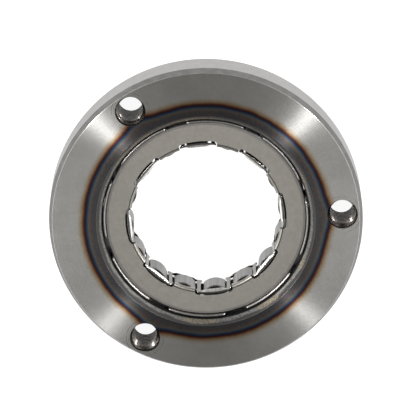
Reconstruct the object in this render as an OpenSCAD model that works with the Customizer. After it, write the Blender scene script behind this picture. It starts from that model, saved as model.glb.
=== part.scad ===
// One-way starter clutch: a hardened outer race with a caged ring of sixteen sprags in its bore.
// The clutch lies on its back face. +Z is its axis and points out of the front face.

/* [Outer race] */
// Outside diameter of the race
race_od = 88; // [86:0.5:92]
// Width of the race from back face to front face
race_w = 14.4; // [14.4:0.1:15]
// Radial size of the long chamfer at each rim
rim_chamfer = 0.95; // [0.6:0.05:1.1]
// Axial length of the long chamfer at each rim
rim_chamfer_len = 2.2; // [1.6:0.1:2.6]
// Edge break between the faces and the rim chamfers
edge_break = 0.15; // [0.05:0.05:0.3]
// Diameter of the bore that the sprags wedge against
race_bore = 57.935; // [57.9:0.005:58]
// Radial size of the lead-in at the front mouth of the bore
lead_in = 1.7; // [1.4:0.1:1.8]
// Axial length of the lead-in
lead_in_len = 2.5; // [2:0.1:2.5]
// Chamfer at the back mouth of the bore
bore_chamfer = 0.55; // [0.2:0.05:0.8]

/* [Tapped holes] */
// Number of tapped holes
hole_count = 3; // [3:1:6]
// Diameter of the circle that the tapped holes lie on
hole_pcd = 76.6; // [74:0.2:78]
// Angle of the first tapped hole
hole_start = 3.3; // [0:0.1:40]
// Tapping drill of the M8 holes
hole_d = 6.8; // [6.6:0.1:7]
// Diameter of the relief in front of the thread and of the countersink behind it
sink_d = 8.5; // [8:0.1:9]
// Depth of the relief in front of the thread
relief_depth = 1.8; // [1.4:0.1:2.4]

/* [Cage] */
// Width of the cage over both plates
cage_w = 11.2; // [11:0.1:11.2]
// Depth of the front plate below the front face of the race
cage_recess = 3.1; // [2.9:0.1:3.2]
// Thickness of the sheet steel
sheet = 0.7; // [0.6:0.05:0.8]
// Diameter over the rim tabs
cage_od = 57.4; // [57.2:0.1:57.6]
// Outside radius of the rim bend
rim_bend = 0.85; // [0.75:0.05:0.9]
// How far the rim tabs reach inward from the plate's outer face
tab_depth = 1.6; // [1.2:0.1:1.6]
// Width of a rim tab, in degrees
tab_span = 33; // [30:0.5:34]
// Diameter of the plate between two rim tabs
gap_d = 56.4; // [56.2:0.1:57]
// Width of a stay finger that joins the two plates, in degrees
stay_span = 6.4; // [5:0.2:7]
// Diameter inside the lips of the lands
lip_d = 42; // [41.8:0.1:42.4]
// Outside radius of the lip bend
lip_bend = 0.8; // [0.75:0.05:0.85]
// How far the lips reach inward from the plate's outer face
lip_depth = 1.5; // [1.1:0.1:1.5]
// Width of a land, in degrees
land_span = 16.5; // [15:0.5:17]
// Diameter of the plate at the bottom of the notches
notch_d = 45.3; // [45.3:0.1:45.6]
// Corner radius of the notches
notch_corner = 0.9; // [0.5:0.1:1.1]

/* [Meander spring] */
// Thickness of the spring strip
strip = 0.4; // [0.3:0.05:0.45]
// Width of the legs between the sprags
leg_w = 0.9; // [0.7:0.05:1]
// Distance from the axis to the inside face of a loop
loop_r = 20.95; // [20.9:0.05:21.1]
// Radial reach of a loop's flange
flange_reach = 1.12; // [1.08:0.04:1.2]
// Outside radius of the bend between flange and wall
strip_bend = 0.6; // [0.5:0.05:0.7]
// Depth of a loop from the top of its flange to the end of its wall
loop_depth = 1; // [0.8:0.05:1.1]
// Distance from the outer face of a plate to the face of its loops
loop_recess = 0.5; // [0.3:0.1:0.6]
// Corner radius of the flanges
flange_corner = 0.6; // [0.5:0.05:0.6]
// Corner radius of the loops on the side of the axis
loop_corner = 0.6; // [0.3:0.05:0.7]
// Fillet between a leg and the wall of its loop
leg_fillet = 0.6; // [0.3:0.1:0.8]

/* [Sprags] */
// Angle of the first sprag
sprag_start = 6; // [0:0.5:22]
// Distance from the axis to the inner cams with no hub in the clutch
sprag_in_r = 20.4; // [20.3:0.05:20.6]
// Clearance between the outer cams and the race
sprag_clear = 0.1; // [0.05:0.01:0.12]
// Radius of the inner cam
cam_in_r = 4.9; // [4.7:0.05:5]
// Radius of the outer cam
cam_out_r = 4.3; // [4.2:0.05:4.4]
// Sideways offset of the inner cam's centre from the sprag's centre line
cam_in_shift = 0.2; // [0:0.05:0.3]
// Sideways offset of the outer cam's centre from the sprag's centre line
cam_out_shift = -0.8; // [-0.9:0.05:-0.6]
// Width of the inner cam between the edges of its ground flanks
cam_in_w = 6.04; // [5.8:0.02:6.1]
// Width of the widest part of the inner head
head_w = 7.4; // [7.2:0.05:7.5]
// Width of the neck
neck_w = 4.8; // [4.4:0.1:5.2]
// Radius of the hollows on both sides of the neck
neck_hollow = 2; // [1.8:0.1:2.2]
// Length of a sprag
sprag_len = 7.6; // [7.2:0.1:7.8]
// Chamfer at the ends of a sprag
sprag_chamfer = 0.25; // [0.1:0.05:0.3]

/* [Hidden] */
$fn = 96;
sprag_count = 16;
sprag_pitch = 360 / sprag_count;
loop_count = sprag_count / 2;
loop_pitch = 2 * sprag_pitch;
race_r = race_od / 2;
bore_r = race_bore / 2;
cage_half = cage_w / 2;
// Height of the middle of the cage, the springs and the sprags
cage_mid = race_w - cage_recess - cage_half;
// A tab spans two sprags, and its stay finger stands between them
tab_angle = sprag_start + 1.5 * sprag_pitch;
land_angle = sprag_start + sprag_pitch;
// Turning the rear plate over by this angle keeps its tabs in line with the front ones
flip_turn = 2 * sprag_start + sprag_pitch;
// The spring's legs stand at the corners of a regular polygon
loop_mid_r = loop_r + strip / 2;
leg_r = loop_mid_r / cos(sprag_pitch / 2);
leg_side = loop_mid_r * tan(sprag_pitch / 2);
loop_half = leg_side + leg_w / 2;
// Distances of the cam centres and of the neck from the axis
cam_in_x = sprag_in_r + cam_in_r;
cam_out_x = sqrt(pow(bore_r - sprag_clear - cam_out_r, 2) - pow(cam_out_shift, 2));
neck_x = 26;
// Distance of the widest part of the inner head from the axis
head_x = 24.3;
neck_shift = (cam_in_shift + cam_out_shift) / 2;
// Distance beyond the outer cam's centre where its round part starts
cam_out_start = 0.4;
// Depth inside the rim that is cleared beside the stay fingers
finger_clear = 2;
// Overlap that makes joined solids one
weld = 0.2;
// How far a cutter runs past what it cuts
over = 1;

function sprag_name(n) = str("sprag_", n < 10 ? "0" : "", n);

// Section of a strip: a flat top that turns down through a quarter bend into a wall at x = 0
module bent_strip(thick, bend, reach, depth) {
    translate([bend, -thick]) square([reach - bend, thick]);
    translate([0, -depth]) square([thick, depth - bend]);
    intersection() {
        translate([bend, -bend]) difference() {
            circle(bend);
            circle(bend - thick);
        }
        translate([0, -bend]) square(bend);
    }
}

// Corner piece between two edges that meet at the origin, hollowed to the given radius
module corner(radius) {
    difference() {
        translate([-weld, -weld]) square(radius + weld);
        translate([radius, radius]) circle(radius, $fn = 32);
    }
}

// Turned ring with long rim chamfers, three tapped holes and a bore with a lead-in
module outer_race() {
    face_r = race_r - rim_chamfer;
    section = [
        [bore_r, bore_chamfer],
        [bore_r + bore_chamfer, 0],
        [face_r - edge_break, 0],
        [face_r, edge_break],
        [race_r, rim_chamfer_len],
        [race_r, race_w - rim_chamfer_len],
        [face_r, race_w - edge_break],
        [face_r - edge_break, race_w],
        [bore_r + lead_in, race_w],
        [bore_r, race_w - lead_in_len]
    ];
    color("silver") difference() {
        rotate_extrude($fn = 180) polygon(section);
        for (n = [0:hole_count - 1])
            rotate([0, 0, hole_start + n * 360 / hole_count])
                translate([hole_pcd / 2, 0, 0])
                    tapped_hole();
    }
}

// Drilled hole, relieved in front of its thread and countersunk at the back
module tapped_hole() {
    sink = (sink_d - hole_d) / 2;
    rotate_extrude() polygon([
        [0, -over],
        [sink_d / 2 + over, -over],
        [hole_d / 2, sink],
        [hole_d / 2, race_w - relief_depth - sink],
        [sink_d / 2, race_w - relief_depth],
        [sink_d / 2, race_w + over],
        [0, race_w + over]
    ]);
}

// Sector of a disc with rounded outer corners, centred on the x axis
module rounded_sector(radius, span, corner_r) {
    side = asin(corner_r / (radius - corner_r));
    reach = 2 * radius;
    for (part = [[radius - corner_r, span / 2], [radius, span / 2 - side]])
        intersection() {
            circle(part[0], $fn = 180);
            polygon([
                [0, 0],
                [reach * cos(part[1]), -reach * sin(part[1])],
                [reach * cos(part[1]), reach * sin(part[1])]
            ]);
        }
    for (way = [-1, 1])
        rotate(way * (span / 2 - side)) translate([radius - corner_r, 0])
            circle(corner_r, $fn = 32);
}

// Part of a ring between two radii, centred on the x axis
module ring_sector(in_r, out_r, span, low, high) {
    rotate([0, 0, -span / 2]) rotate_extrude(angle = span, $fn = 180)
        translate([in_r, low]) square([out_r - in_r, high - low]);
}

// One pressing of sheet steel, its outer face up at z = 0, with lands or a plain circle inside
module plate_pressing(lands) {
    out_r = cage_od / 2;
    in_r = lip_d / 2;
    half_reach = (out_r - in_r) / 2 + weld;
    difference() {
        rotate_extrude($fn = 180) {
            if (lands) translate([in_r, 0]) bent_strip(sheet, lip_bend, half_reach, lip_depth);
            else translate([notch_d / 2, -sheet]) square([half_reach, sheet]);
            translate([out_r, 0]) mirror([1, 0]) bent_strip(sheet, rim_bend, half_reach, cage_half);
        }
        for (n = [0:loop_count - 1]) {
            if (lands) rotate([0, 0, sprag_start + n * loop_pitch]) translate([0, 0, -lip_depth - over])
                linear_extrude(lip_depth + 2 * over)
                    rounded_sector(notch_d / 2, loop_pitch - land_span, notch_corner);
            rotate([0, 0, tab_angle + (n + 0.5) * loop_pitch]) {
                ring_sector(gap_d / 2, out_r + over, loop_pitch - tab_span, -tab_depth - over, over);
                ring_sector(
                    out_r - finger_clear, out_r + over, loop_pitch - stay_span, -cage_half - over, -tab_depth
                );
            }
        }
    }
}

module cage_front_plate() {
    color("darkgray") translate([0, 0, cage_mid + cage_half]) plate_pressing(true);
}

module cage_rear_plate() {
    color("darkgray") translate([0, 0, cage_mid - cage_half])
        rotate([0, 0, flip_turn]) rotate([180, 0, 0]) plate_pressing(false);
}

// One loop of the spring, its flange up at z = 0, with the fillets into its two legs
module spring_loop() {
    difference() {
        rotate([90, 0, 0]) linear_extrude(2 * loop_half, center = true) translate([loop_r, 0])
            bent_strip(strip, strip_bend, flange_reach, loop_depth);
        for (way = [0, 1])
            mirror([0, way, 0]) {
                translate([loop_r + flange_reach, loop_half, -strip - over])
                    linear_extrude(strip + 2 * over) rotate(180) corner(flange_corner);
                translate([loop_r, loop_half, -strip_bend])
                    linear_extrude(strip_bend + over) rotate(-90) corner(loop_corner);
            }
    }
    for (way = [0, 1])
        mirror([0, way, 0]) translate([loop_r + strip, loop_half - leg_w, -loop_depth])
            rotate([-90, 0, 90]) linear_extrude(strip) corner(leg_fillet);
}

// Strip spring: eight front loops, eight rear loops and a leg in each space between two sprags
module meander_spring() {
    spring_half = cage_half - loop_recess;
    leg_half = spring_half - (strip_bend + loop_depth) / 2;
    color("gainsboro") translate([0, 0, cage_mid]) {
        for (n = [0:loop_count - 1]) {
            rotate([0, 0, sprag_start + n * loop_pitch])
                translate([0, 0, spring_half]) spring_loop();
            rotate([0, 0, land_angle + n * loop_pitch])
                translate([0, 0, -spring_half]) mirror([0, 0, 1]) spring_loop();
        }
        for (n = [0:sprag_count - 1])
            rotate([0, 0, sprag_start + (n + 0.5) * sprag_pitch]) translate([leg_r, 0, 0])
                cube([strip, leg_w, 2 * leg_half], center = true);
    }
}

// Cylinder with chamfered ends, centred on the origin
module chamfered_roll(radius) {
    rotate_extrude() polygon([
        [0, -sprag_len / 2],
        [radius - sprag_chamfer, -sprag_len / 2],
        [radius, sprag_chamfer - sprag_len / 2],
        [radius, sprag_len / 2 - sprag_chamfer],
        [radius - sprag_chamfer, sprag_len / 2],
        [0, sprag_len / 2]
    ]);
}

// Space between the two ground flanks of the inner head
module flank_wedge() {
    edge_x = cam_in_x - sqrt(pow(cam_in_r, 2) - pow(cam_in_w / 2, 2));
    slope = (head_w - cam_in_w) / 2 / (head_x - edge_x);
    root_w = cam_in_w / 2 - slope * (edge_x - sprag_in_r + over);
    end_x = cam_out_x + cam_out_start + weld;
    linear_extrude(sprag_len + 2 * over, center = true) polygon([
        [sprag_in_r - over, -root_w],
        [head_x, -head_w / 2],
        [end_x, -head_w / 2],
        [end_x, head_w / 2],
        [head_x, head_w / 2],
        [sprag_in_r - over, root_w]
    ]);
}

// A sprag: a round inner head and a larger outer cam, set off from each other to make the strut
module sprag(n) {
    color("slategray") rotate([0, 0, sprag_start + (n - 1) * sprag_pitch]) translate([0, 0, cage_mid])
        difference() {
            union() {
                intersection() {
                    translate([cam_in_x, cam_in_shift, 0]) chamfered_roll(cam_in_r);
                    translate([0, cam_in_shift, 0]) flank_wedge();
                }
                intersection() {
                    translate([cam_out_x, cam_out_shift, 0]) chamfered_roll(cam_out_r);
                    translate([cam_out_x + cam_out_start, -cam_out_r * 2, -sprag_len])
                        cube([cam_out_r * 2, cam_out_r * 4, sprag_len * 2]);
                }
            }
            for (way = [-1, 1])
                translate([neck_x, neck_shift + way * (neck_w / 2 + neck_hollow), -sprag_len])
                    cylinder(r = neck_hollow, h = sprag_len * 2);
        }
}

outer_race();
cage_front_plate();
cage_rear_plate();
meander_spring();
for (n = [1:sprag_count])
    sprag(n);
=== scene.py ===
import math
import bmesh
import bpy
from mathutils import Matrix, Vector


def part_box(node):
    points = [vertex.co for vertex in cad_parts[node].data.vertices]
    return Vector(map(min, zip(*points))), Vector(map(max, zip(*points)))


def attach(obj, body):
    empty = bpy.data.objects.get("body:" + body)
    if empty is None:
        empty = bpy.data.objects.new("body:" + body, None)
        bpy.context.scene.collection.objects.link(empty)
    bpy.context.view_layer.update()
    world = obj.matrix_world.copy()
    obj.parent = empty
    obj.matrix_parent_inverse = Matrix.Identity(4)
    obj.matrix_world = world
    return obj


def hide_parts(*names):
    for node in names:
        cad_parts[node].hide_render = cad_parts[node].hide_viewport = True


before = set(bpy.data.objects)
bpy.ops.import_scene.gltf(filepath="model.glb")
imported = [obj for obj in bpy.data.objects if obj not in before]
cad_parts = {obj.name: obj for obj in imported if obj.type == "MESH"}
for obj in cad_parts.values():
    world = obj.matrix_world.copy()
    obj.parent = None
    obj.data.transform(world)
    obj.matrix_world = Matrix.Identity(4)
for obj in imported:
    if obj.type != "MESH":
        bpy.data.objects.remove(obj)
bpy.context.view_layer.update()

mm = 0.001
scene = bpy.context.scene
scene.view_settings.view_transform = "Standard"

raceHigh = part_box("outer_race")[1]
raceRadius = raceHigh.x / mm
raceWidth = raceHigh.z / mm
print("frame loaded, race", round(raceRadius, 2), "x", round(raceWidth, 2), "mm")


# Helpers for node trees

number, colour = "NodeSocketFloat", "NodeSocketColor"
noiseMiddle = 0.5
noiseReach = (0.3, 0.7)      # a noise value stays mostly between these
bumpDepth = 0.1 * mm


def fill(tree, node, inputs):
    # a socket is wired, a value is set on the node's own socket
    for key, value in inputs.items():
        if isinstance(value, bpy.types.NodeSocket):
            tree.links.new(value, node.inputs[key])
        else:
            node.inputs[key].default_value = value


def addNode(tree, kind, inputs=None, **settings):
    made = tree.nodes.new(kind)
    for key, value in settings.items():
        setattr(made, key, value)
    fill(tree, made, inputs or {})
    return made


def maths(tree, operation, *values):
    return addNode(tree, "ShaderNodeMath", dict(enumerate(values)), operation=operation).outputs[0]


def ramp(tree, value, low, high, atLow=0.0, atHigh=1.0):
    inputs = dict(enumerate((value, low, high, atLow, atHigh)))
    return addNode(tree, "ShaderNodeMapRange", inputs, interpolation_type="SMOOTHSTEP").outputs[0]


def centred(tree, noise):
    # a noise turned into values round zero
    return maths(tree, "SUBTRACT", noise, noiseMiddle)


def vary(tree, noise, middle, spread):
    # a noise turned into values round a middle one
    return ramp(tree, noise, *noiseReach, middle - spread, middle + spread)


def opaque(tone):
    # a written colour gets its alpha, a wired one stays
    return (*tone, 1) if isinstance(tone, tuple) else tone


def mixColour(tree, factor, a, b, blend="MIX"):
    inputs = {0: factor, 6: opaque(a), 7: opaque(b)}
    return addNode(tree, "ShaderNodeMix", inputs, data_type="RGBA", blend_type=blend).outputs[2]


def shaded(tree, tone, shade):
    # a colour times a grey value
    even = addNode(tree, "ShaderNodeCombineColor", {0: shade, 1: shade, 2: shade}).outputs[0]
    return mixColour(tree, 1.0, tone, even, "MULTIPLY")


def colourRamp(tree, value, stops):
    made = addNode(tree, "ShaderNodeValToRGB", {0: value})
    band = made.color_ramp
    while len(band.elements) < len(stops):
        band.elements.new(0.5)
    for element, (place, tone) in zip(band.elements, stops):
        element.position = place
        element.color = opaque(tone)
    return made.outputs[0]


def cloudNoise(tree, place, scale, detail):
    inputs = {"Vector": place, "Scale": scale, "Detail": detail}
    return addNode(tree, "ShaderNodeTexNoise", inputs).outputs[0]


def lineNoise(tree, along, detail):
    inputs = {"W": along, "Scale": 1.0, "Detail": detail}
    return addNode(tree, "ShaderNodeTexNoise", inputs, noise_dimensions="1D").outputs[0]


def bumped(tree, height, strength):
    inputs = {"Height": height, "Strength": strength, "Distance": bumpDepth}
    return addNode(tree, "ShaderNodeBump", inputs).outputs[0]


def partPlace(tree):
    return addNode(tree, "ShaderNodeTexCoord").outputs["Object"]


def flatPlace(tree):
    # the three axes of a place on the part, and the place with its height left out
    axes = addNode(tree, "ShaderNodeSeparateXYZ", {0: partPlace(tree)}).outputs
    flat = addNode(tree, "ShaderNodeCombineXYZ", {0: axes[0], 1: axes[1]}).outputs[0]
    return axes, flat


def newGroup(name, inputs, outputs):
    tree = bpy.data.node_groups.new(name, "ShaderNodeTree")
    for label, value in inputs.items():
        tree.interface.new_socket(label, in_out="INPUT", socket_type=number).default_value = value
    for label, kind in outputs.items():
        tree.interface.new_socket(label, in_out="OUTPUT", socket_type=kind)
    return tree, tree.nodes.new("NodeGroupInput").outputs, tree.nodes.new("NodeGroupOutput")


def useGroup(tree, group, **values):
    inputs = {key.capitalize(): value for key, value in values.items()}
    return addNode(tree, "ShaderNodeGroup", inputs, node_tree=group).outputs


# Node groups that several finishes use

def polarGroup():
    # place on the part as a radius in mm, an angle in radians and a height in mm
    tree, _, result = newGroup("polarPlace", {}, {"Radius": number, "Angle": number, "Height": number})
    axes, flat = flatPlace(tree)
    length = addNode(tree, "ShaderNodeVectorMath", {0: flat}, operation="LENGTH").outputs[1]
    fill(tree, result, {
        "Radius": maths(tree, "MULTIPLY", length, 1 / mm),
        "Angle": maths(tree, "ARCTAN2", axes[1], axes[0]),
        "Height": maths(tree, "MULTIPLY", axes[2], 1 / mm),
    })
    return tree


def speckleGroup():
    # soft blotches and fine grain of a given size in mm, both about 0.5
    tree, into, result = newGroup("steelSpeckle", {"Blotch": 3.0, "Grain": 0.15},
                                  {"Blotches": number, "Fine": number})
    place = partPlace(tree)
    for label, size, detail in (("Blotches", into["Blotch"], 3), ("Fine", into["Grain"], 2)):
        scale = maths(tree, "DIVIDE", 1 / mm, size)
        fill(tree, result, {label: cloudNoise(tree, place, scale, detail)})
    return tree


streakRadius = 30.0          # mm, where a streak is as wide as its group says


def streakGroup():
    # marks that run outward from the axis, about 0.5, with their sizes in mm
    tree, into, result = newGroup("radialStreaks", {"Across": 0.4, "Along": 3.0, "Seed": 0.0},
                                  {"Streaks": number})
    polar = useGroup(tree, polarPlace)
    turn = {}
    for axis, operation in enumerate(("COSINE", "SINE")):
        side = maths(tree, "MULTIPLY", maths(tree, operation, polar["Angle"]), streakRadius)
        turn[axis] = maths(tree, "DIVIDE", side, into["Across"])
    turn[2] = maths(tree, "ADD", maths(tree, "DIVIDE", polar["Radius"], into["Along"]), into["Seed"])
    place = addNode(tree, "ShaderNodeCombineXYZ", turn).outputs[0]
    fill(tree, result, {"Streaks": cloudNoise(tree, place, scale=1.0, detail=2.0)})
    return tree


wanderScale = 60.0           # bends a metre in the rings that the tool left


def turningGroup():
    # fine rings left by the tool, as a height, with their pitch and wander in mm
    tree, into, result = newGroup("turningMarks", {"Pitch": 0.12, "Wander": 0.3}, {"Height": number})
    polar = useGroup(tree, polarPlace)
    wander = cloudNoise(tree, partPlace(tree), wanderScale, detail=1.0)
    bent = maths(tree, "MULTIPLY_ADD", wander, into["Wander"], polar["Radius"])
    line = lineNoise(tree, maths(tree, "DIVIDE", bent, into["Pitch"]), detail=2.0)
    fill(tree, result, {"Height": line})
    return tree


polarPlace = polarGroup()
steelSpeckle = speckleGroup()
radialStreaks = streakGroup()
turningMarks = turningGroup()
print("shared node groups ready")


def streaked(tree, size, seed=0.0):
    # radial streaks whose size is given as mm across and along
    across, along = size
    return useGroup(tree, radialStreaks, across=across, along=along, seed=seed)["Streaks"]


# Plain steel, which the finishes below start from

def steel(name, aniso=0.0, rotation=0.0):
    made = bpy.data.materials.new(name)
    made.use_nodes = True
    tree = made.node_tree
    shader = tree.nodes["Principled BSDF"]
    fill(tree, shader, {"Metallic": 1.0, "Anisotropic": aniso, "Anisotropic Rotation": rotation})
    return made, tree, shader


plainLook = {
    "grain": 0.2,            # mm
    "roughnessSpread": 0.04,
    "bump": 0.05,
}


def plainSteel(name, base, roughness, spread=0.12, blotch=2.0):
    made, tree, shader = steel(name)
    spots = useGroup(tree, steelSpeckle, blotch=blotch, grain=plainLook["grain"])
    fill(tree, shader, {
        "Base Color": shaded(tree, base, vary(tree, spots["Blotches"], 1, spread)),
        "Roughness": vary(tree, spots["Fine"], roughness, plainLook["roughnessSpread"]),
        "Normal": bumped(tree, spots["Fine"], plainLook["bump"]),
    })
    return made


# Outer race: turned ring with rounded edges and real threads in its holes

race = {                     # mm, unless a line says otherwise
    "segments": 360,         # round the ring
    "boreRadius": 28.9675,
    "boreChamfer": 0.55,
    "leadIn": (1.7, 2.5),    # radial and axial size at the front mouth
    "rimChamfer": 0.95,
    "rimChamferLength": 2.2,
    "edgeRound": 0.12,
    "arcSteps": 3,           # in a rounded edge
    "sharpAngle": 28,        # degrees between faces that stay a hard edge
    "holeCount": 3,
    "firstHole": 3.3,        # degrees
    "holeCircle": 38.3,      # from the axis to the middle of a hole
    "drillRadius": 3.45,
    "threadRadius": 4.0,
    "threadPitch": 1.25,
    "sinkRadius": 4.25,
    "reliefDepth": 1.8,
    "coneInset": 0.2,        # how far the cutters' cones run inside the drilled wall
    "overrun": 1,            # how far the cutters stand out of the faces
    "columns": 48,           # round a hole
}

holeAngles = [math.radians(race["firstHole"] + 360 * n / race["holeCount"]) for n in range(race["holeCount"])]

heatTint = {
    "edgeRadius": 36.2,      # mm, where the colours start
    "innerRadius": 29.5,     # mm, inside end of the colours
    "holeReach": 2.0,        # mm that the colours stand out beside a hole
    "holeSpread": 17.0,      # sharper when larger
    "wobble": 0.9,           # mm that the edge strays, over stretches of wobbleSize
    "wobbleSize": 4.0,
    "mottled": (0.45, 0.70),         # depth where streaks and flecks begin and are full
    "streakSize": (0.5, 2.5),        # mm across and along
    "streakShift": 0.5,      # how far the streaks move the colours
    "fleckSize": (0.45, 0.55),
    "fleckShare": 0.7,       # how much a full fleck hides
    "redFleck": (0.200, 0.088, 0.068),
    "redRange": (0.54, 0.68),        # noise values where a fleck begins and is full
    "greenFleck": (0.058, 0.098, 0.088),
    "greenRange": (0.46, 0.32),
}

temperColours = [            # from clean steel inwards: straw, brown, purple, blue, grey
    (0.00, (0.520, 0.510, 0.490)),
    (0.08, (0.485, 0.450, 0.395)),
    (0.15, (0.415, 0.345, 0.260)),
    (0.21, (0.330, 0.235, 0.150)),
    (0.25, (0.240, 0.130, 0.066)),
    (0.29, (0.130, 0.048, 0.026)),
    (0.33, (0.055, 0.021, 0.022)),
    (0.37, (0.026, 0.028, 0.054)),
    (0.42, (0.038, 0.062, 0.105)),
    (0.46, (0.075, 0.100, 0.120)),
    (0.50, (0.135, 0.130, 0.122)),
    (0.54, (0.138, 0.118, 0.102)),
    (0.59, (0.112, 0.098, 0.092)),
    (0.64, (0.094, 0.090, 0.090)),
    (0.70, (0.082, 0.085, 0.093)),
    (0.80, (0.086, 0.089, 0.097)),
    (1.00, (0.100, 0.100, 0.101)),
]


def heatTintGroup():
    # oxide colours round the hardened bore, by depth inside the edge of the heated zone
    tree, _, result = newGroup("heatTint", {}, {"Tint": colour})
    polar = useGroup(tree, polarPlace)
    turned = maths(tree, "SUBTRACT", polar["Angle"], holeAngles[0])
    repeated = maths(tree, "COSINE", maths(tree, "MULTIPLY", turned, race["holeCount"]))
    nearHole = maths(tree, "SUBTRACT", repeated, 1.0)
    bulge = maths(tree, "EXPONENT", maths(tree, "MULTIPLY", nearHole, heatTint["holeSpread"]))
    edge = maths(tree, "MULTIPLY_ADD", bulge, heatTint["holeReach"], heatTint["edgeRadius"])
    slow = useGroup(tree, steelSpeckle, blotch=heatTint["wobbleSize"])["Blotches"]
    edge = maths(tree, "MULTIPLY_ADD", centred(tree, slow), heatTint["wobble"], edge)
    depth = maths(tree, "DIVIDE", maths(tree, "SUBTRACT", edge, polar["Radius"]),
                  maths(tree, "SUBTRACT", edge, heatTint["innerRadius"]))
    inner = ramp(tree, depth, *heatTint["mottled"])
    loose = maths(tree, "MULTIPLY", centred(tree, streaked(tree, heatTint["streakSize"])),
                  maths(tree, "MULTIPLY", inner, heatTint["streakShift"]))
    film = colourRamp(tree, maths(tree, "ADD", depth, loose), temperColours)
    flecks = streaked(tree, heatTint["fleckSize"], seed=7.0)
    for tone, reach in (("redFleck", "redRange"), ("greenFleck", "greenRange")):
        share = ramp(tree, flecks, *heatTint[reach], 0.0, heatTint["fleckShare"])
        film = mixColour(tree, maths(tree, "MULTIPLY", share, inner), film, heatTint[tone])
    fill(tree, result, {"Tint": film})
    return tree


holeRings = {
    "reach": (4.4, 5.9),     # mm from a hole's axis, where the rings start to fade and end
    "pitch": 0.42,
    "patchSize": 2.5,        # mm, where the rings show and don't
    "patchRange": (0.35, 0.60),
}


def holeRingGroup():
    # rings that the countersink left round each hole, about 0
    tree, _, result = newGroup("holeRings", {}, {"Rings": number})
    flat = flatPlace(tree)[1]
    near = None
    for angle in holeAngles:
        middle = Vector((math.cos(angle), math.sin(angle), 0)) * race["holeCircle"] * mm
        gap = addNode(tree, "ShaderNodeVectorMath", {0: flat, 1: middle}, operation="DISTANCE").outputs[1]
        near = gap if near is None else maths(tree, "MINIMUM", near, gap)
    near = maths(tree, "MULTIPLY", near, 1 / mm)
    line = lineNoise(tree, maths(tree, "DIVIDE", near, holeRings["pitch"]), detail=1.0)
    patchy = useGroup(tree, steelSpeckle, blotch=holeRings["patchSize"])["Blotches"]
    full, gone = holeRings["reach"]
    there = maths(tree, "MULTIPLY", ramp(tree, near, gone, full),
                  ramp(tree, patchy, *holeRings["patchRange"]))
    fill(tree, result, {"Rings": maths(tree, "MULTIPLY", centred(tree, line), there)})
    return tree


heatFilm = heatTintGroup()
sinkRings = holeRingGroup()

turnedLook = {
    "anisotropic": 1.0,
    "rotation": 0.25,
    "roughness": 0.24,
    "roughnessSpread": 0.01,
    "blotch": 9.0,           # mm
    "blotchContrast": 0.05,
    "grain": 0.25,           # mm
    "grainContrast": 0.05,
    "ringContrast": 3.5,     # of the rings round the holes
    "pitch": 0.35,           # mm between the tool's marks
    "wander": 0.3,           # mm
    "bump": 0.015,
}


def turnedSteel():
    # turned face with its heat colours, whose streaks of light run outward
    look = turnedLook
    made, tree, shader = steel("turnedSteel", look["anisotropic"], look["rotation"])
    spots = useGroup(tree, steelSpeckle, blotch=look["blotch"], grain=look["grain"])
    grain = maths(tree, "ADD", vary(tree, spots["Fine"], 0, look["grainContrast"]),
                  vary(tree, spots["Blotches"], 1, look["blotchContrast"]))
    rings = useGroup(tree, sinkRings)["Rings"]
    shade = maths(tree, "MULTIPLY_ADD", rings, look["ringContrast"], grain)
    marks = useGroup(tree, turningMarks, pitch=look["pitch"], wander=look["wander"])["Height"]
    fill(tree, shader, {
        "Base Color": shaded(tree, useGroup(tree, heatFilm)["Tint"], shade),
        "Roughness": vary(tree, spots["Fine"], look["roughness"], look["roughnessSpread"]),
        "Normal": bumped(tree, marks, look["bump"]),
        "Tangent": addNode(tree, "ShaderNodeTangent", direction_type="RADIAL", axis="Z").outputs[0],
    })
    return made


leadInLook = {
    "shadow": (0.020, 0.020, 0.021),     # painted shadow beside the clearance
    "edge": (0.340, 0.335, 0.330),
    "tan": (0.440, 0.390, 0.310),
    "slate": (0.100, 0.098, 0.098),
    "shadowRadius": 29.25,   # mm
    "edgeRadius": 29.50,
    "slateRadius": 30.35,
    "fade": 0.45,            # mm from the lighter edge band to the slate
    "stray": 1.2,            # mm that the lighter edge band's width varies by
    "waveSize": (8.0, 40.0),             # mm across and along
    "wave": (0.9, -0.1),     # gain and offset
    "patches": ((128.0, 8.0), (90.0, 14.0), (270.0, 30.0), (305.0, 30.0)),   # degrees, and how short each is
    "patchGain": 0.25,
    "tanRange": (0.46, 0.58),            # noise values where the tan begins and is full
    "fleckSize": 0.5,        # mm
    "fleckRange": (0.38, 0.60),
    "fleckShare": 0.65,
    "roughness": 0.38,
    "bump": 0.08,
}


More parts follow.
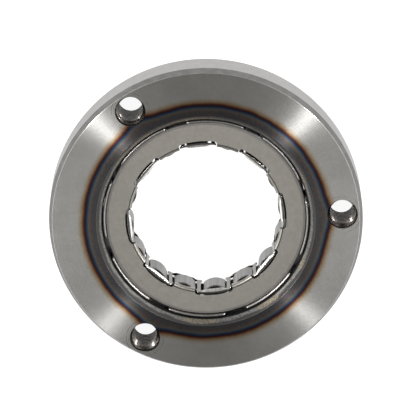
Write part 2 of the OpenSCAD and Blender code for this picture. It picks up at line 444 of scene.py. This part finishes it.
def leadInSteel():
    # painted shadow beside the clearance and down the bore, then a lighter edge band with tan patches that
    # fades into the grey scale
    made, tree, shader = steel("leadInSteel")
    look = leadInLook
    polar = useGroup(tree, polarPlace)
    slow = maths(tree, "MULTIPLY_ADD", streaked(tree, look["waveSize"], seed=3.0), *look["wave"])
    for angle, sharp in look["patches"]:
        turned = maths(tree, "SUBTRACT", polar["Angle"], math.radians(angle))
        near = maths(tree, "MULTIPLY", maths(tree, "SUBTRACT", maths(tree, "COSINE", turned), 1.0), sharp)
        slow = maths(tree, "MULTIPLY_ADD", maths(tree, "EXPONENT", near), look["patchGain"], slow)
    edgeBand = mixColour(tree, ramp(tree, slow, *look["tanRange"]), look["edge"], look["tan"])
    flecks = useGroup(tree, steelSpeckle, blotch=look["fleckSize"])["Blotches"]
    flecked = ramp(tree, flecks, *look["fleckRange"], look["fleckShare"], 0.0)
    edgeBand = mixColour(tree, flecked, edgeBand, look["slate"])
    spread = maths(tree, "MULTIPLY_ADD", slow, -look["stray"], polar["Radius"])
    outside = look["slateRadius"] - look["stray"] / 2
    tone = mixColour(tree, ramp(tree, spread, outside - look["fade"], outside), edgeBand, look["slate"])
    # painted shadow: near-black inside shadowRadius, which takes in the bore wall
    bright = ramp(tree, polar["Radius"], look["shadowRadius"], look["edgeRadius"])
    fill(tree, shader, {
        "Base Color": mixColour(tree, bright, look["shadow"], tone),
        "Roughness": look["roughness"],
        "Normal": bumped(tree, useGroup(tree, steelSpeckle)["Fine"], look["bump"]),
    })
    return made


raceFinish = {
    "face": turnedSteel(),
    "chamfer": plainSteel("darkChamfer", base=(0.16, 0.155, 0.15), roughness=0.45),
    "thread": plainSteel("tappedSteel", base=(0.115, 0.104, 0.094), roughness=0.2, spread=0.6, blotch=0.45),
    "leadIn": leadInSteel(),
    "rim": plainSteel("rimSteel", base=(0.27, 0.262, 0.255), roughness=0.38, spread=0.05),
}
raceSlots = list(raceFinish)
print("race finishes ready")


def skin(made, rings, closed=False):
    # four-sided faces between neighbouring rings of points, each ring closed in itself
    for ring, after in zip(rings, rings[1:] + rings[:1] if closed else rings[1:]):
        for i in range(len(ring)):
            j = (i + 1) % len(ring)
            made.faces.new((ring[i], after[i], after[j], ring[j]))


def capEnds(made, rings):
    made.faces.new(rings[0][::-1])
    made.faces.new(rings[-1])


def meshFrom(made, name):
    # smooth mesh from working geometry, which is freed
    for flat in made.faces:
        flat.smooth = True
    mesh = bpy.data.meshes.new(name)
    made.to_mesh(mesh)
    made.free()
    return mesh


def objectFrom(mesh, name, *materials):
    made = bpy.data.objects.new(name, mesh)
    for material in materials:
        mesh.materials.append(material)
    scene.collection.objects.link(made)
    return made


def applyModifiers(made):
    # the mesh with its modifiers takes the place of the plain one
    graph = bpy.context.evaluated_depsgraph_get()
    graph.update()
    mesh = bpy.data.meshes.new_from_object(made.evaluated_get(graph))
    made.modifiers.clear()
    old, made.data = made.data, mesh
    mesh.name = old.name
    bpy.data.meshes.remove(old)


def weightNormals(made, keepSharp=False):
    made.modifiers.new("weighted", "WEIGHTED_NORMAL").keep_sharp = keepSharp
    applyModifiers(made)


def roundedOutline(points, radius, steps):
    # closed outline with an arc at each corner, each point with the finish that follows it
    outline = []
    count = len(points)
    for i, (point, kind) in enumerate(points):
        here = Vector(point)
        before = (Vector(points[i - 1][0]) - here).normalized()
        after = (Vector(points[(i + 1) % count][0]) - here).normalized()
        half = before.angle(after) / 2
        cut = radius / math.tan(half)
        start, end = here + before * cut, here + after * cut
        middle = here + (before + after).normalized() * radius / math.sin(half)
        for k in range(steps + 1):
            blend = start.lerp(end, k / steps) - middle
            outline.append((middle + blend.normalized() * radius, kind))
    return outline


def raceRing():
    face = raceRadius - race["rimChamfer"]
    bore, lead, back = race["boreRadius"], race["leadIn"], race["boreChamfer"]
    corners = [   # radius, height and the finish of the stretch that follows
        ((bore + back, 0), "face"), ((face, 0), "chamfer"),
        ((raceRadius, race["rimChamferLength"]), "rim"),
        ((raceRadius, raceWidth - race["rimChamferLength"]), "chamfer"),
        ((face, raceWidth), "face"), ((bore + lead[0], raceWidth), "leadIn"),
        ((bore, raceWidth - lead[1]), "leadIn"), ((bore, back), "face"),
    ]
    outline = roundedOutline(corners, race["edgeRound"], race["arcSteps"])
    made = bmesh.new()
    rings = []
    for s in range(race["segments"]):
        a = 2 * math.pi * s / race["segments"]
        rings.append([made.verts.new((p.x * math.cos(a) * mm, p.x * math.sin(a) * mm, p.y * mm))
                      for p, kind in outline])
    skin(made, rings, closed=True)
    for n, flat in enumerate(made.faces):
        flat.material_index = raceSlots.index(outline[n % len(outline)][1])
    return meshFrom(made, "turnedRace")


def tapMesh():
    # thread cutter: rows climb one pitch a turn, so the seam joins rows that are a turn apart
    pitch, low, high = race["threadPitch"], race["drillRadius"], race["threadRadius"]
    crest, root = 1 / 4, 1 / 8       # flats of the thread, as shares of its pitch
    flank = (1 - crest - root) / 2
    steps = [(0, low), (crest, low), (crest + flank, high), (crest + flank + root, high)]
    spare = 2                        # turns beyond each face
    start = -spare * pitch
    columns, perTurn = race["columns"], len(steps)
    rows = perTurn * (int(raceWidth / pitch) + 2 * spare)
    made = bmesh.new()
    grid = []
    for c in range(columns):
        a = 2 * math.pi * c / columns
        column = []
        for row in range(rows + 1 + (perTurn if c == 0 else 0)):
            turn, step = divmod(row, perTurn)
            share, radius = steps[step]
            z = start + pitch * (turn + share + c / columns)
            column.append(made.verts.new((radius * math.cos(a), radius * math.sin(a), z)))
        grid.append(column)
    for c in range(columns):
        column, after = grid[c], grid[(c + 1) % columns]
        shift = perTurn if c == columns - 1 else 0
        for row in range(rows):
            made.faces.new((column[row], after[row + shift], after[row + shift + 1], column[row + 1]))
    seam = range(perTurn, 0, -1)
    bottom = [column[0] for column in grid] + [grid[0][i] for i in seam]
    top = [column[rows] for column in grid] + [grid[0][rows + i] for i in seam]
    for loop, turned in ((bottom, True), (top, False)):
        middle = made.verts.new((0, 0, sum(v.co.z for v in loop) / len(loop)))
        for i, v in enumerate(loop):
            after = loop[(i + 1) % len(loop)]
            pair = (after, v) if turned else (v, after)
            made.faces.new((*pair, middle))
    return made


def latheMesh(profile):
    # closed solid turned from a list of radii and heights, bottom to top
    made = bmesh.new()
    columns = race["columns"]
    turns = [2 * math.pi * c / columns for c in range(columns)]
    rings = [[made.verts.new((radius * math.cos(a), radius * math.sin(a), height)) for a in turns]
             for radius, height in profile]
    for lower, upper in zip(rings, rings[1:]):
        for c in range(columns):
            d = (c + 1) % columns
            made.faces.new((lower[c], lower[d], upper[d], upper[c]))
    capEnds(made, rings)
    return made


def reliefMesh():
    # clearance in front of the thread, with a cone at its foot
    drill, sink, inset = race["drillRadius"], race["sinkRadius"], race["coneInset"]
    low = raceWidth - race["reliefDepth"]
    foot = (drill - inset, low - sink + drill - inset)
    return latheMesh([foot, (sink, low), (sink, raceWidth + race["overrun"])])


def sinkMesh():
    # countersink at the back
    drill, sink, inset = race["drillRadius"], race["sinkRadius"], race["coneInset"]
    return latheMesh([(sink + race["overrun"], -race["overrun"]), (drill - inset, sink - drill + inset)])


def repeatedAtHoles(cutter, name):
    one = meshFrom(cutter, name + "One")
    whole = bmesh.new()
    for angle in holeAngles:
        before = set(whole.verts)
        whole.from_mesh(one)
        fresh = [v for v in whole.verts if v not in before]
        turn = Matrix.Rotation(angle, 4, "Z")
        place = Matrix.Scale(mm, 4) @ turn @ Matrix.Translation((race["holeCircle"], 0, 0))
        bmesh.ops.transform(whole, verts=fresh, matrix=place)
    for flat in whole.faces:
        flat.material_index = raceSlots.index("thread")
    bmesh.ops.recalc_face_normals(whole, faces=whole.faces)
    bpy.data.meshes.remove(one)
    return objectFrom(meshFrom(whole, name), name, *raceFinish.values())


def buildRace():
    ring = objectFrom(raceRing(), "race_turned", *raceFinish.values())
    cutters = [repeatedAtHoles(reliefMesh(), "reliefCutter"), repeatedAtHoles(sinkMesh(), "sinkCutter"),
               repeatedAtHoles(tapMesh(), "tapCutter")]
    for cutter in cutters:
        cut = ring.modifiers.new(cutter.name, "BOOLEAN")
        cut.operation = "DIFFERENCE"
        cut.solver = "EXACT"
        cut.material_mode = "INDEX"
        cut.object = cutter
    applyModifiers(ring)
    for cutter in cutters:
        bpy.data.objects.remove(cutter)
    ring.data.set_sharp_from_angle(angle=math.radians(race["sharpAngle"]))
    weightNormals(ring, keepSharp=True)
    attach(ring, "race")
    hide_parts("outer_race")
    print("race made,", len(ring.data.polygons), "faces")


buildRace()


# Meander spring: one closed strip with rounded loops, bent over at both ends of the sprags

spring = {                   # mm, unless a line says otherwise
    "loops": 16,
    "firstAngle": 6.0,       # degrees, middle of the first front loop
    "sheet": 0.4,
    "loopRadius": 21.0,      # to the middle of the sheet
    "legRadius": 21.6,
    "straightHalf": 2.4,     # half of a loop's straight part
    "middleHeight": 5.7,
    "bendRadius": 0.45,
    "flangeRadius": 22.1,    # outer edge of a loop
    "legWidth": 1.05,
    "fillet": 0.6,           # between a leg and its loop
    "endRound": 1.35,
    "endFlare": 0.35,        # how far a loop's end stands out beyond its leg
    "flarePower": 8,         # the larger, the later a leg flares
    "frontTop": 11.45,       # height of a front loop
    "rearTop": 0.6,          # height of a rear loop
    "loopDepth": 0.75,       # from the top of a loop to the lower edge of its wall
    "edgeRound": 0.06,
    "across": 9,             # faces across the strip
    "perLeg": 8,             # faces along half a leg, a corner and half a loop
    "perCorner": 7,
    "perLoop": 5,
    "paintedSheenColour": (0.80, 0.78, 0.75),       # painted sheen on the inner rounding of a loop
    "outerColour": (0.17, 0.162, 0.150),
    "paintedSheenRadii": (21.50, 21.74),        # full inside the first, gone outside the second
    "paintedSheenHeights": (5.25, 5.45),        # from the middle height, where the loops begin
    "blotch": 0.8,
    "blotchContrast": 0.15,
    "roughness": 0.26,
}


def springSteel():
    # strip with a painted sheen on the inner side of its loops
    made, tree, shader = steel("springStrip")
    polar = useGroup(tree, polarPlace)
    away = maths(tree, "ABSOLUTE", maths(tree, "SUBTRACT", polar["Height"], spring["middleHeight"]))
    full, gone = spring["paintedSheenRadii"]
    # painted sheen: the base colour is made light on the inner rounding of each loop
    paintedSheen = maths(tree, "MULTIPLY", ramp(tree, polar["Radius"], gone, full),
                      ramp(tree, away, *spring["paintedSheenHeights"]))
    tone = mixColour(tree, paintedSheen, spring["outerColour"], spring["paintedSheenColour"])
    spots = useGroup(tree, steelSpeckle, blotch=spring["blotch"])["Blotches"]
    fill(tree, shader, {
        "Base Color": shaded(tree, tone, vary(tree, spots, 1, spring["blotchContrast"])),
        "Roughness": spring["roughness"],
    })
    return made


def springPath(s):
    # distance from the axis and turn of the wall, straight in a loop and square to its radius in a leg
    half = math.pi / spring["loops"]
    radius, start = spring["loopRadius"], spring["straightHalf"]
    legX, legY = spring["legRadius"] * math.cos(half), spring["legRadius"] * math.sin(half)
    slope, end = -math.tan(half), legY - spring["legWidth"] / 2
    far = abs(s)
    if far >= end:
        return legX + slope * (far - legY), math.copysign(half, s)
    u = max(0.0, (far - start) / (end - start))
    rise = legX + slope * (end - legY) - radius
    smooth = u * u * (3 - 2 * u)
    return radius + rise * smooth + slope * (end - start) * (u ** 3 - u ** 2), math.copysign(half * smooth, s)


def springSide(front):
    # contours of half a loop in the flat strip, from the middle of a leg to the middle of the loop
    bend, middleHeight = spring["bendRadius"], spring["middleHeight"]
    top = spring["frontTop"] - middleHeight if front else middleHeight - spring["rearTop"]
    bendStart = top - spring["sheet"] / 2 - bend
    middle = spring["legRadius"] * math.sin(math.pi / spring["loops"])

    def wallEnd(s):
        return top - spring["loopDepth"]

    def flangeEnd(s):
        reach = math.sqrt(spring["flangeRadius"] ** 2 - s * s) - springPath(s)[0]
        if reach > bend:
            return bendStart + bend * math.pi / 2 + reach - bend
        return bendStart + bend * math.acos(1 - reach / bend)

    contours = []
    for side, corner, flare, edge in ((-1, spring["fillet"], 0, wallEnd),
                                      (1, spring["endRound"], spring["endFlare"], flangeEnd)):
        leg = middle + side * spring["legWidth"] / 2
        at = leg + flare
        end = edge(at - corner)
        shares = [k / spring["perLeg"] for k in range(spring["perLeg"])]
        line = [(leg + flare * share ** spring["flarePower"], (end - corner) * share) for share in shares]
        for k in range(spring["perCorner"] + 1):
            a = math.pi / 2 * k / spring["perCorner"]
            line.append((at - corner * (1 - math.cos(a)), end - corner * (1 - math.sin(a))))
        for k in range(1, spring["perLoop"] + 1):
            s = (at - corner) * (1 - k / spring["perLoop"])
            line.append((s, edge(s)))
        contours.append(line)
    return contours, bendStart


def springPoint(angle, s, h, lift, up, bendStart):
    # place on the bent strip, lifted off its middle surface
    bend = spring["bendRadius"]
    beyond = max(0.0, h - bendStart)
    turn = min(beyond / bend, math.pi / 2)
    outward = bend * (1 - math.cos(turn)) + max(0.0, beyond - bend * math.pi / 2) - lift * math.cos(turn)
    z = min(h, bendStart) + bend * math.sin(turn) + lift * math.sin(turn)
    x, lean = springPath(s)
    x, y = x + outward * math.cos(lean), s + outward * math.sin(lean)
    return ((x * math.cos(angle) - y * math.sin(angle)) * mm,
            (x * math.sin(angle) + y * math.cos(angle)) * mm,
            (spring["middleHeight"] + up * z) * mm)


def springRing(angle, left, right, up, bendStart):
    # points round the strip's section between two contour points
    half, edge = spring["sheet"] / 2, spring["edgeRound"]
    inset = edge / math.dist(left, right)
    shares = [inset + (1 - 2 * inset) * m / spring["across"] for m in range(spring["across"] + 1)]
    places = [(share, half) for share in shares] + [(1, half - edge), (1, edge - half)]
    places += [(share, -half) for share in reversed(shares)] + [(0, edge - half), (0, half - edge)]
    ring = []
    for share, lift in places:
        s = left[0] + (right[0] - left[0]) * share
        h = left[1] + (right[1] - left[1]) * share
        ring.append(springPoint(angle, s, h, lift, up, bendStart))
    return ring


def buildSpring():
    rings = []
    for n in range(spring["loops"]):
        front = n % 2 == 0
        up = 1 if front else -1
        (inner, outer), bendStart = springSide(front)
        angle = math.radians(spring["firstAngle"] + n * 360 / spring["loops"])
        halfway = list(zip(outer, inner)) if front else list(zip(inner, outer))
        before = [((-a[0], a[1]), (-b[0], b[1])) for a, b in halfway]
        for left, right in before + halfway[-2:0:-1]:
            rings.append(springRing(angle, left, right, up, bendStart))
    made = bmesh.new()
    skin(made, [[made.verts.new(place) for place in ring] for ring in rings], closed=True)
    bmesh.ops.recalc_face_normals(made, faces=made.faces)
    strip = objectFrom(meshFrom(made, "spring_strip"), "spring_strip", springSteel())
    weightNormals(strip)
    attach(strip, "cage")
    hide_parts("meander_spring")
    print("spring made,", len(strip.data.polygons), "faces")


buildSpring()


# Rim tabs of the front plate: their edges are flared up towards the race's mouth

rimTab = {                   # mm, unless a line says otherwise
    "count": 8,
    "firstAngle": 39.75,     # degrees, middle of a tab
    "span": 33.0,            # degrees
    "endTaper": 1.6,         # degrees over which an end is rounded
    "endSize": 0.25,         # of the full section, at a tab's very end
    "radius": 28.57,         # middle of the bead
    "height": 11.72,         # of its middle, and an end shrinks down towards the foot
    "halfWidth": 0.36,
    "halfHeight": 0.45,
    "foot": 0.3,             # how far the foot reaches down below the bead
    "footLean": 0.3,         # how far it runs inward on that way, as a share
    "columns": 40,           # along a tab
    "around": 14,            # round its bead
    "colour": (0.31, 0.30, 0.29),
    "roughness": 0.32,
    "spread": 0.1,
    "blotch": 1.0,
}


def buildRimTabs():
    made = bmesh.new()
    half = rimTab["span"] / 2
    wide, tall = rimTab["halfWidth"], rimTab["halfHeight"]
    for n in range(rimTab["count"]):
        middle = rimTab["firstAngle"] + n * 360 / rimTab["count"]
        rings = []
        for c in range(rimTab["columns"] + 1):
            turn = -half * math.cos(math.pi * c / rimTab["columns"])
            left = min(1.0, (half - abs(turn)) / rimTab["endTaper"])
            size = rimTab["endSize"] + (1 - rimTab["endSize"]) * math.sqrt(left * (2 - left))
            a = math.radians(middle + turn)
            ring = []
            for k in range(rimTab["around"]):
                b = 2 * math.pi * k / rimTab["around"]
                drop = min(0.0, math.sin(b)) * rimTab["foot"]
                radius = rimTab["radius"] + wide * size * math.cos(b) + drop * rimTab["footLean"]
                z = rimTab["height"] - tall + tall * size + tall * size * math.sin(b) + drop
                ring.append(made.verts.new((radius * math.cos(a) * mm, radius * math.sin(a) * mm, z * mm)))
            rings.append(ring)
        skin(made, rings)
        capEnds(made, rings)
    bmesh.ops.recalc_face_normals(made, faces=made.faces)
    flared = plainSteel("flaredTab", base=rimTab["colour"], roughness=rimTab["roughness"],
                        spread=rimTab["spread"], blotch=rimTab["blotch"])
    tabs = objectFrom(meshFrom(made, "cage_rim_tabs"), "cage_rim_tabs", flared)
    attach(tabs, "cage")
    print("rim tabs made,", len(tabs.data.polygons), "faces")


buildRimTabs()


# Cage plates and sprags: carried-over nodes that keep their meshes and get finished materials

plateLook = {
    "base": (0.475, 0.453, 0.412),
    "edge": (0.330, 0.315, 0.300),       # painted shade on the rounded rim of a plate
    "creaseShade": (0.060, 0.058, 0.056),     # painted shade at the foot of a rim tab and the bend of a lip
    "flatRadius": 27.1,      # mm, where the flat face ends
    "edgeRadius": 27.6,
    "tabCrease": (27.85, 28.05, 28.20, 28.35),       # starts, is full, still full, gone
    "lipCrease": (21.68, 21.78, 21.90, 22.02),
    "lipShade": 0.62,
    "blotch": 1.5,           # mm
    "blotchContrast": 0.04,
    "grain": 0.2,            # mm
    "grainContrast": 0.06,
    "roughness": 0.36,
    "roughnessSpread": 0.04,
    "bump": 0.08,
}


def plateSteel():
    # pressed sheet, dull, with painted shade on its rounded rim, at the foot of the rim tabs and over the
    # bends of the lips
    made, tree, shader = steel("pressedSteel")
    look = plateLook
    radius = useGroup(tree, polarPlace)["Radius"]
    spots = useGroup(tree, steelSpeckle, blotch=look["blotch"], grain=look["grain"])
    # painted shade: darker towards the plate's rounded rim
    rim = ramp(tree, radius, look["flatRadius"], look["edgeRadius"])
    tone = mixColour(tree, rim, look["base"], look["edge"])
    # painted shade: dark rings at the foot of the rim tabs and at the bends of the lips
    for start, full, stillFull, gone in (look["tabCrease"], look["lipCrease"]):
        inside = maths(tree, "MULTIPLY", ramp(tree, radius, start, full), ramp(tree, radius, gone, stillFull))
        tone = mixColour(tree, inside, tone, look["creaseShade"])
    # painted shade over the bend of each lip
    lipEnd, lipStart = look["lipCrease"][:2]
    tone = shaded(tree, tone, ramp(tree, radius, lipStart, lipEnd, 1.0, look["lipShade"]))
    grain = maths(tree, "MULTIPLY", vary(tree, spots["Blotches"], 1, look["blotchContrast"]),
                  vary(tree, spots["Fine"], 1, look["grainContrast"]))
    fill(tree, shader, {
        "Base Color": shaded(tree, tone, grain),
        "Roughness": vary(tree, spots["Fine"], look["roughness"], look["roughnessSpread"]),
        "Normal": bumped(tree, spots["Fine"], look["bump"]),
    })
    return made


spragLook = {
    "cams": (0.185, 0.183, 0.178),
    "ends": (0.045, 0.044, 0.043),       # painted shade on the end faces
    "endRange": (0.75, 0.95),            # upward part of a normal, from cam to end face
    "scratch": 0.22,
    "scratchSize": (0.35, 1.5),          # mm across and along
    "roughness": 0.36,
}


def spragSteel():
    # ground cams with fine lines along the sprag, and painted shade on the end faces
    made, tree, shader = steel("groundSprag")
    look = spragLook
    facing = addNode(tree, "ShaderNodeNewGeometry").outputs["Normal"]
    up = addNode(tree, "ShaderNodeSeparateXYZ", {0: facing}).outputs[2]
    # painted shade: faces whose normal points along the axis get the dark end colour
    end = ramp(tree, maths(tree, "ABSOLUTE", up), *look["endRange"])
    tone = mixColour(tree, end, look["cams"], look["ends"])
    lines = streaked(tree, look["scratchSize"], seed=11.0)
    fill(tree, shader, {
        "Base Color": shaded(tree, tone, vary(tree, lines, 1, look["scratch"])),
        "Roughness": look["roughness"],
    })
    return made


carriedFinish = {"cage": plateSteel(), "sprag": spragSteel()}
for name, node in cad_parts.items():
    for key, material in carriedFinish.items():
        if name.startswith(key):
            for slot in node.material_slots:
                slot.material = material
print("cage plates and sprags finished")


# Studio

studio = {
    "floorSize": 6.0,        # m
    "floorDrop": 0.05,       # mm below the clutch
    "floorGlow": 0.93,
    "floorMatt": 0.8,        # what lights the clutch from below
    "floorFaint": 0.25,      # what the camera sees of the shadow
    "skyMiddle": (0.26, 0.255, 0.25),
    "skySides": (1.98, 1.98, 1.97),
    "skySpread": (0.1, 0.9),             # sideways part of a direction, from the middle to the sides
    "skyRim": (0.30, 0.05),              # upward part of a direction, over which the sky turns white
    "tilt": 17.0,            # degrees between the view and the clutch's axis
    "distance": 1.15,        # m
    "clip": (0.01, 50),      # m
    "pixel": 0.28329,        # mm a pixel at the aim height
    "imageWidth": 416,
    "aimHeight": 0.0,        # mm
    "aimPixel": (205.95, 206.9),
    "sensor": 36.0,          # mm
    "streakAngles": (47.0, 136.5),       # degrees, of the bright streaks on the face
    "lampReach": 0.9,        # level part of a lamp's direction, before the tilt is taken off
    "lampDistance": 1.0,     # m
    "lampSize": (0.04, 0.55),            # m
    "lampPower": 7.6,
}


def grey(level):
    return (level, level, level, 1)


def buildFloor():
    mesh = bpy.data.meshes.new("floor")
    half = studio["floorSize"] / 2
    corners = [(x * half, y * half, 0) for x, y in ((-1, -1), (1, -1), (1, 1), (-1, 1))]
    mesh.from_pydata(corners, [], [(0, 1, 2, 3)])
    made = bpy.data.materials.new("paleFloor")
    made.use_nodes = True
    tree = made.node_tree
    tree.nodes.clear()
    path = addNode(tree, "ShaderNodeLightPath").outputs
    seen = maths(tree, "MAXIMUM", path["Is Camera Ray"],
                 maths(tree, "MAXIMUM", path["Is Glossy Ray"], path["Is Transmission Ray"]))
    matt = addNode(tree, "ShaderNodeBsdfDiffuse", {"Color": grey(studio["floorMatt"])})
    faint = addNode(tree, "ShaderNodeBsdfDiffuse", {"Color": grey(studio["floorFaint"])})
    glow = addNode(tree, "ShaderNodeEmission", {"Color": grey(1), "Strength": studio["floorGlow"]})
    lit = addNode(tree, "ShaderNodeAddShader", {0: faint.outputs[0], 1: glow.outputs[0]})
    both = addNode(tree, "ShaderNodeMixShader", {0: seen, 1: matt.outputs[0], 2: lit.outputs[0]})
    addNode(tree, "ShaderNodeOutputMaterial", {0: both.outputs[0]})
    floor = objectFrom(mesh, "floor", made)
    floor.location.z = -studio["floorDrop"] * mm


def buildWorld():
    # dark overhead and bright at the sides, white near the horizon
    world = bpy.data.worlds.new("studio")
    world.use_nodes = True
    scene.world = world
    tree = world.node_tree
    tree.nodes.clear()
    way = addNode(tree, "ShaderNodeTexCoord").outputs["Generated"]
    axes = addNode(tree, "ShaderNodeSeparateXYZ", {0: way}).outputs
    aside = ramp(tree, maths(tree, "ABSOLUTE", axes[0]), *studio["skySpread"])
    roof = mixColour(tree, aside, studio["skyMiddle"], studio["skySides"])
    sky = mixColour(tree, ramp(tree, axes[2], *studio["skyRim"]), roof, (1, 1, 1))
    back = addNode(tree, "ShaderNodeBackground", {"Color": sky, "Strength": 1.0})
    addNode(tree, "ShaderNodeOutputWorld", {0: back.outputs[0]})


def buildLamps():
    # one long lamp for each bright streak, where the turned face mirrors it at that angle
    tilt = math.radians(studio["tilt"])
    reach = studio["lampReach"]
    for n, streak in enumerate(studio["streakAngles"]):
        a = math.radians(streak)
        x, y = reach * math.cos(a), reach * math.sin(a) - math.sin(tilt)
        way = Vector((x, y, math.sqrt(1 - x * x - y * y)))
        across = Vector((-math.sin(a), math.cos(a), 0))
        along = across.cross(way).normalized()
        side = along.cross(way).normalized()
        lamp = bpy.data.lights.new(f"strip{n}", "AREA")
        lamp.shape = "RECTANGLE"
        lamp.size, lamp.size_y = studio["lampSize"]
        lamp.energy = studio["lampPower"]
        made = bpy.data.objects.new(lamp.name, lamp)
        place = Matrix((side, along, way)).transposed().to_4x4()
        place.translation = way * studio["lampDistance"]
        made.matrix_world = place
        made.visible_camera = False
        scene.collection.objects.link(made)


def buildCamera():
    tilt = math.radians(studio["tilt"])
    pixel = studio["pixel"] * mm
    middle = studio["imageWidth"] / 2
    right = middle - studio["aimPixel"][0]
    up = studio["aimPixel"][1] - middle
    back = Vector((0, math.sin(tilt), math.cos(tilt)))
    upward = Vector((0, math.cos(tilt), -math.sin(tilt)))
    camera = bpy.data.cameras.new("camera")
    camera.sensor_width = studio["sensor"]
    camera.lens = studio["sensor"] * studio["distance"] / (studio["imageWidth"] * pixel)
    camera.clip_start, camera.clip_end = studio["clip"]
    made = bpy.data.objects.new("camera", camera)
    made.location = (Vector((0, 0, studio["aimHeight"] * mm)) + back * studio["distance"]
                     + Vector((1, 0, 0)) * right * pixel + upward * up * pixel)
    made.rotation_euler = (-tilt, 0, 0)
    scene.collection.objects.link(made)
    scene.camera = made


buildFloor()
buildWorld()
buildLamps()
buildCamera()
print("studio ready")
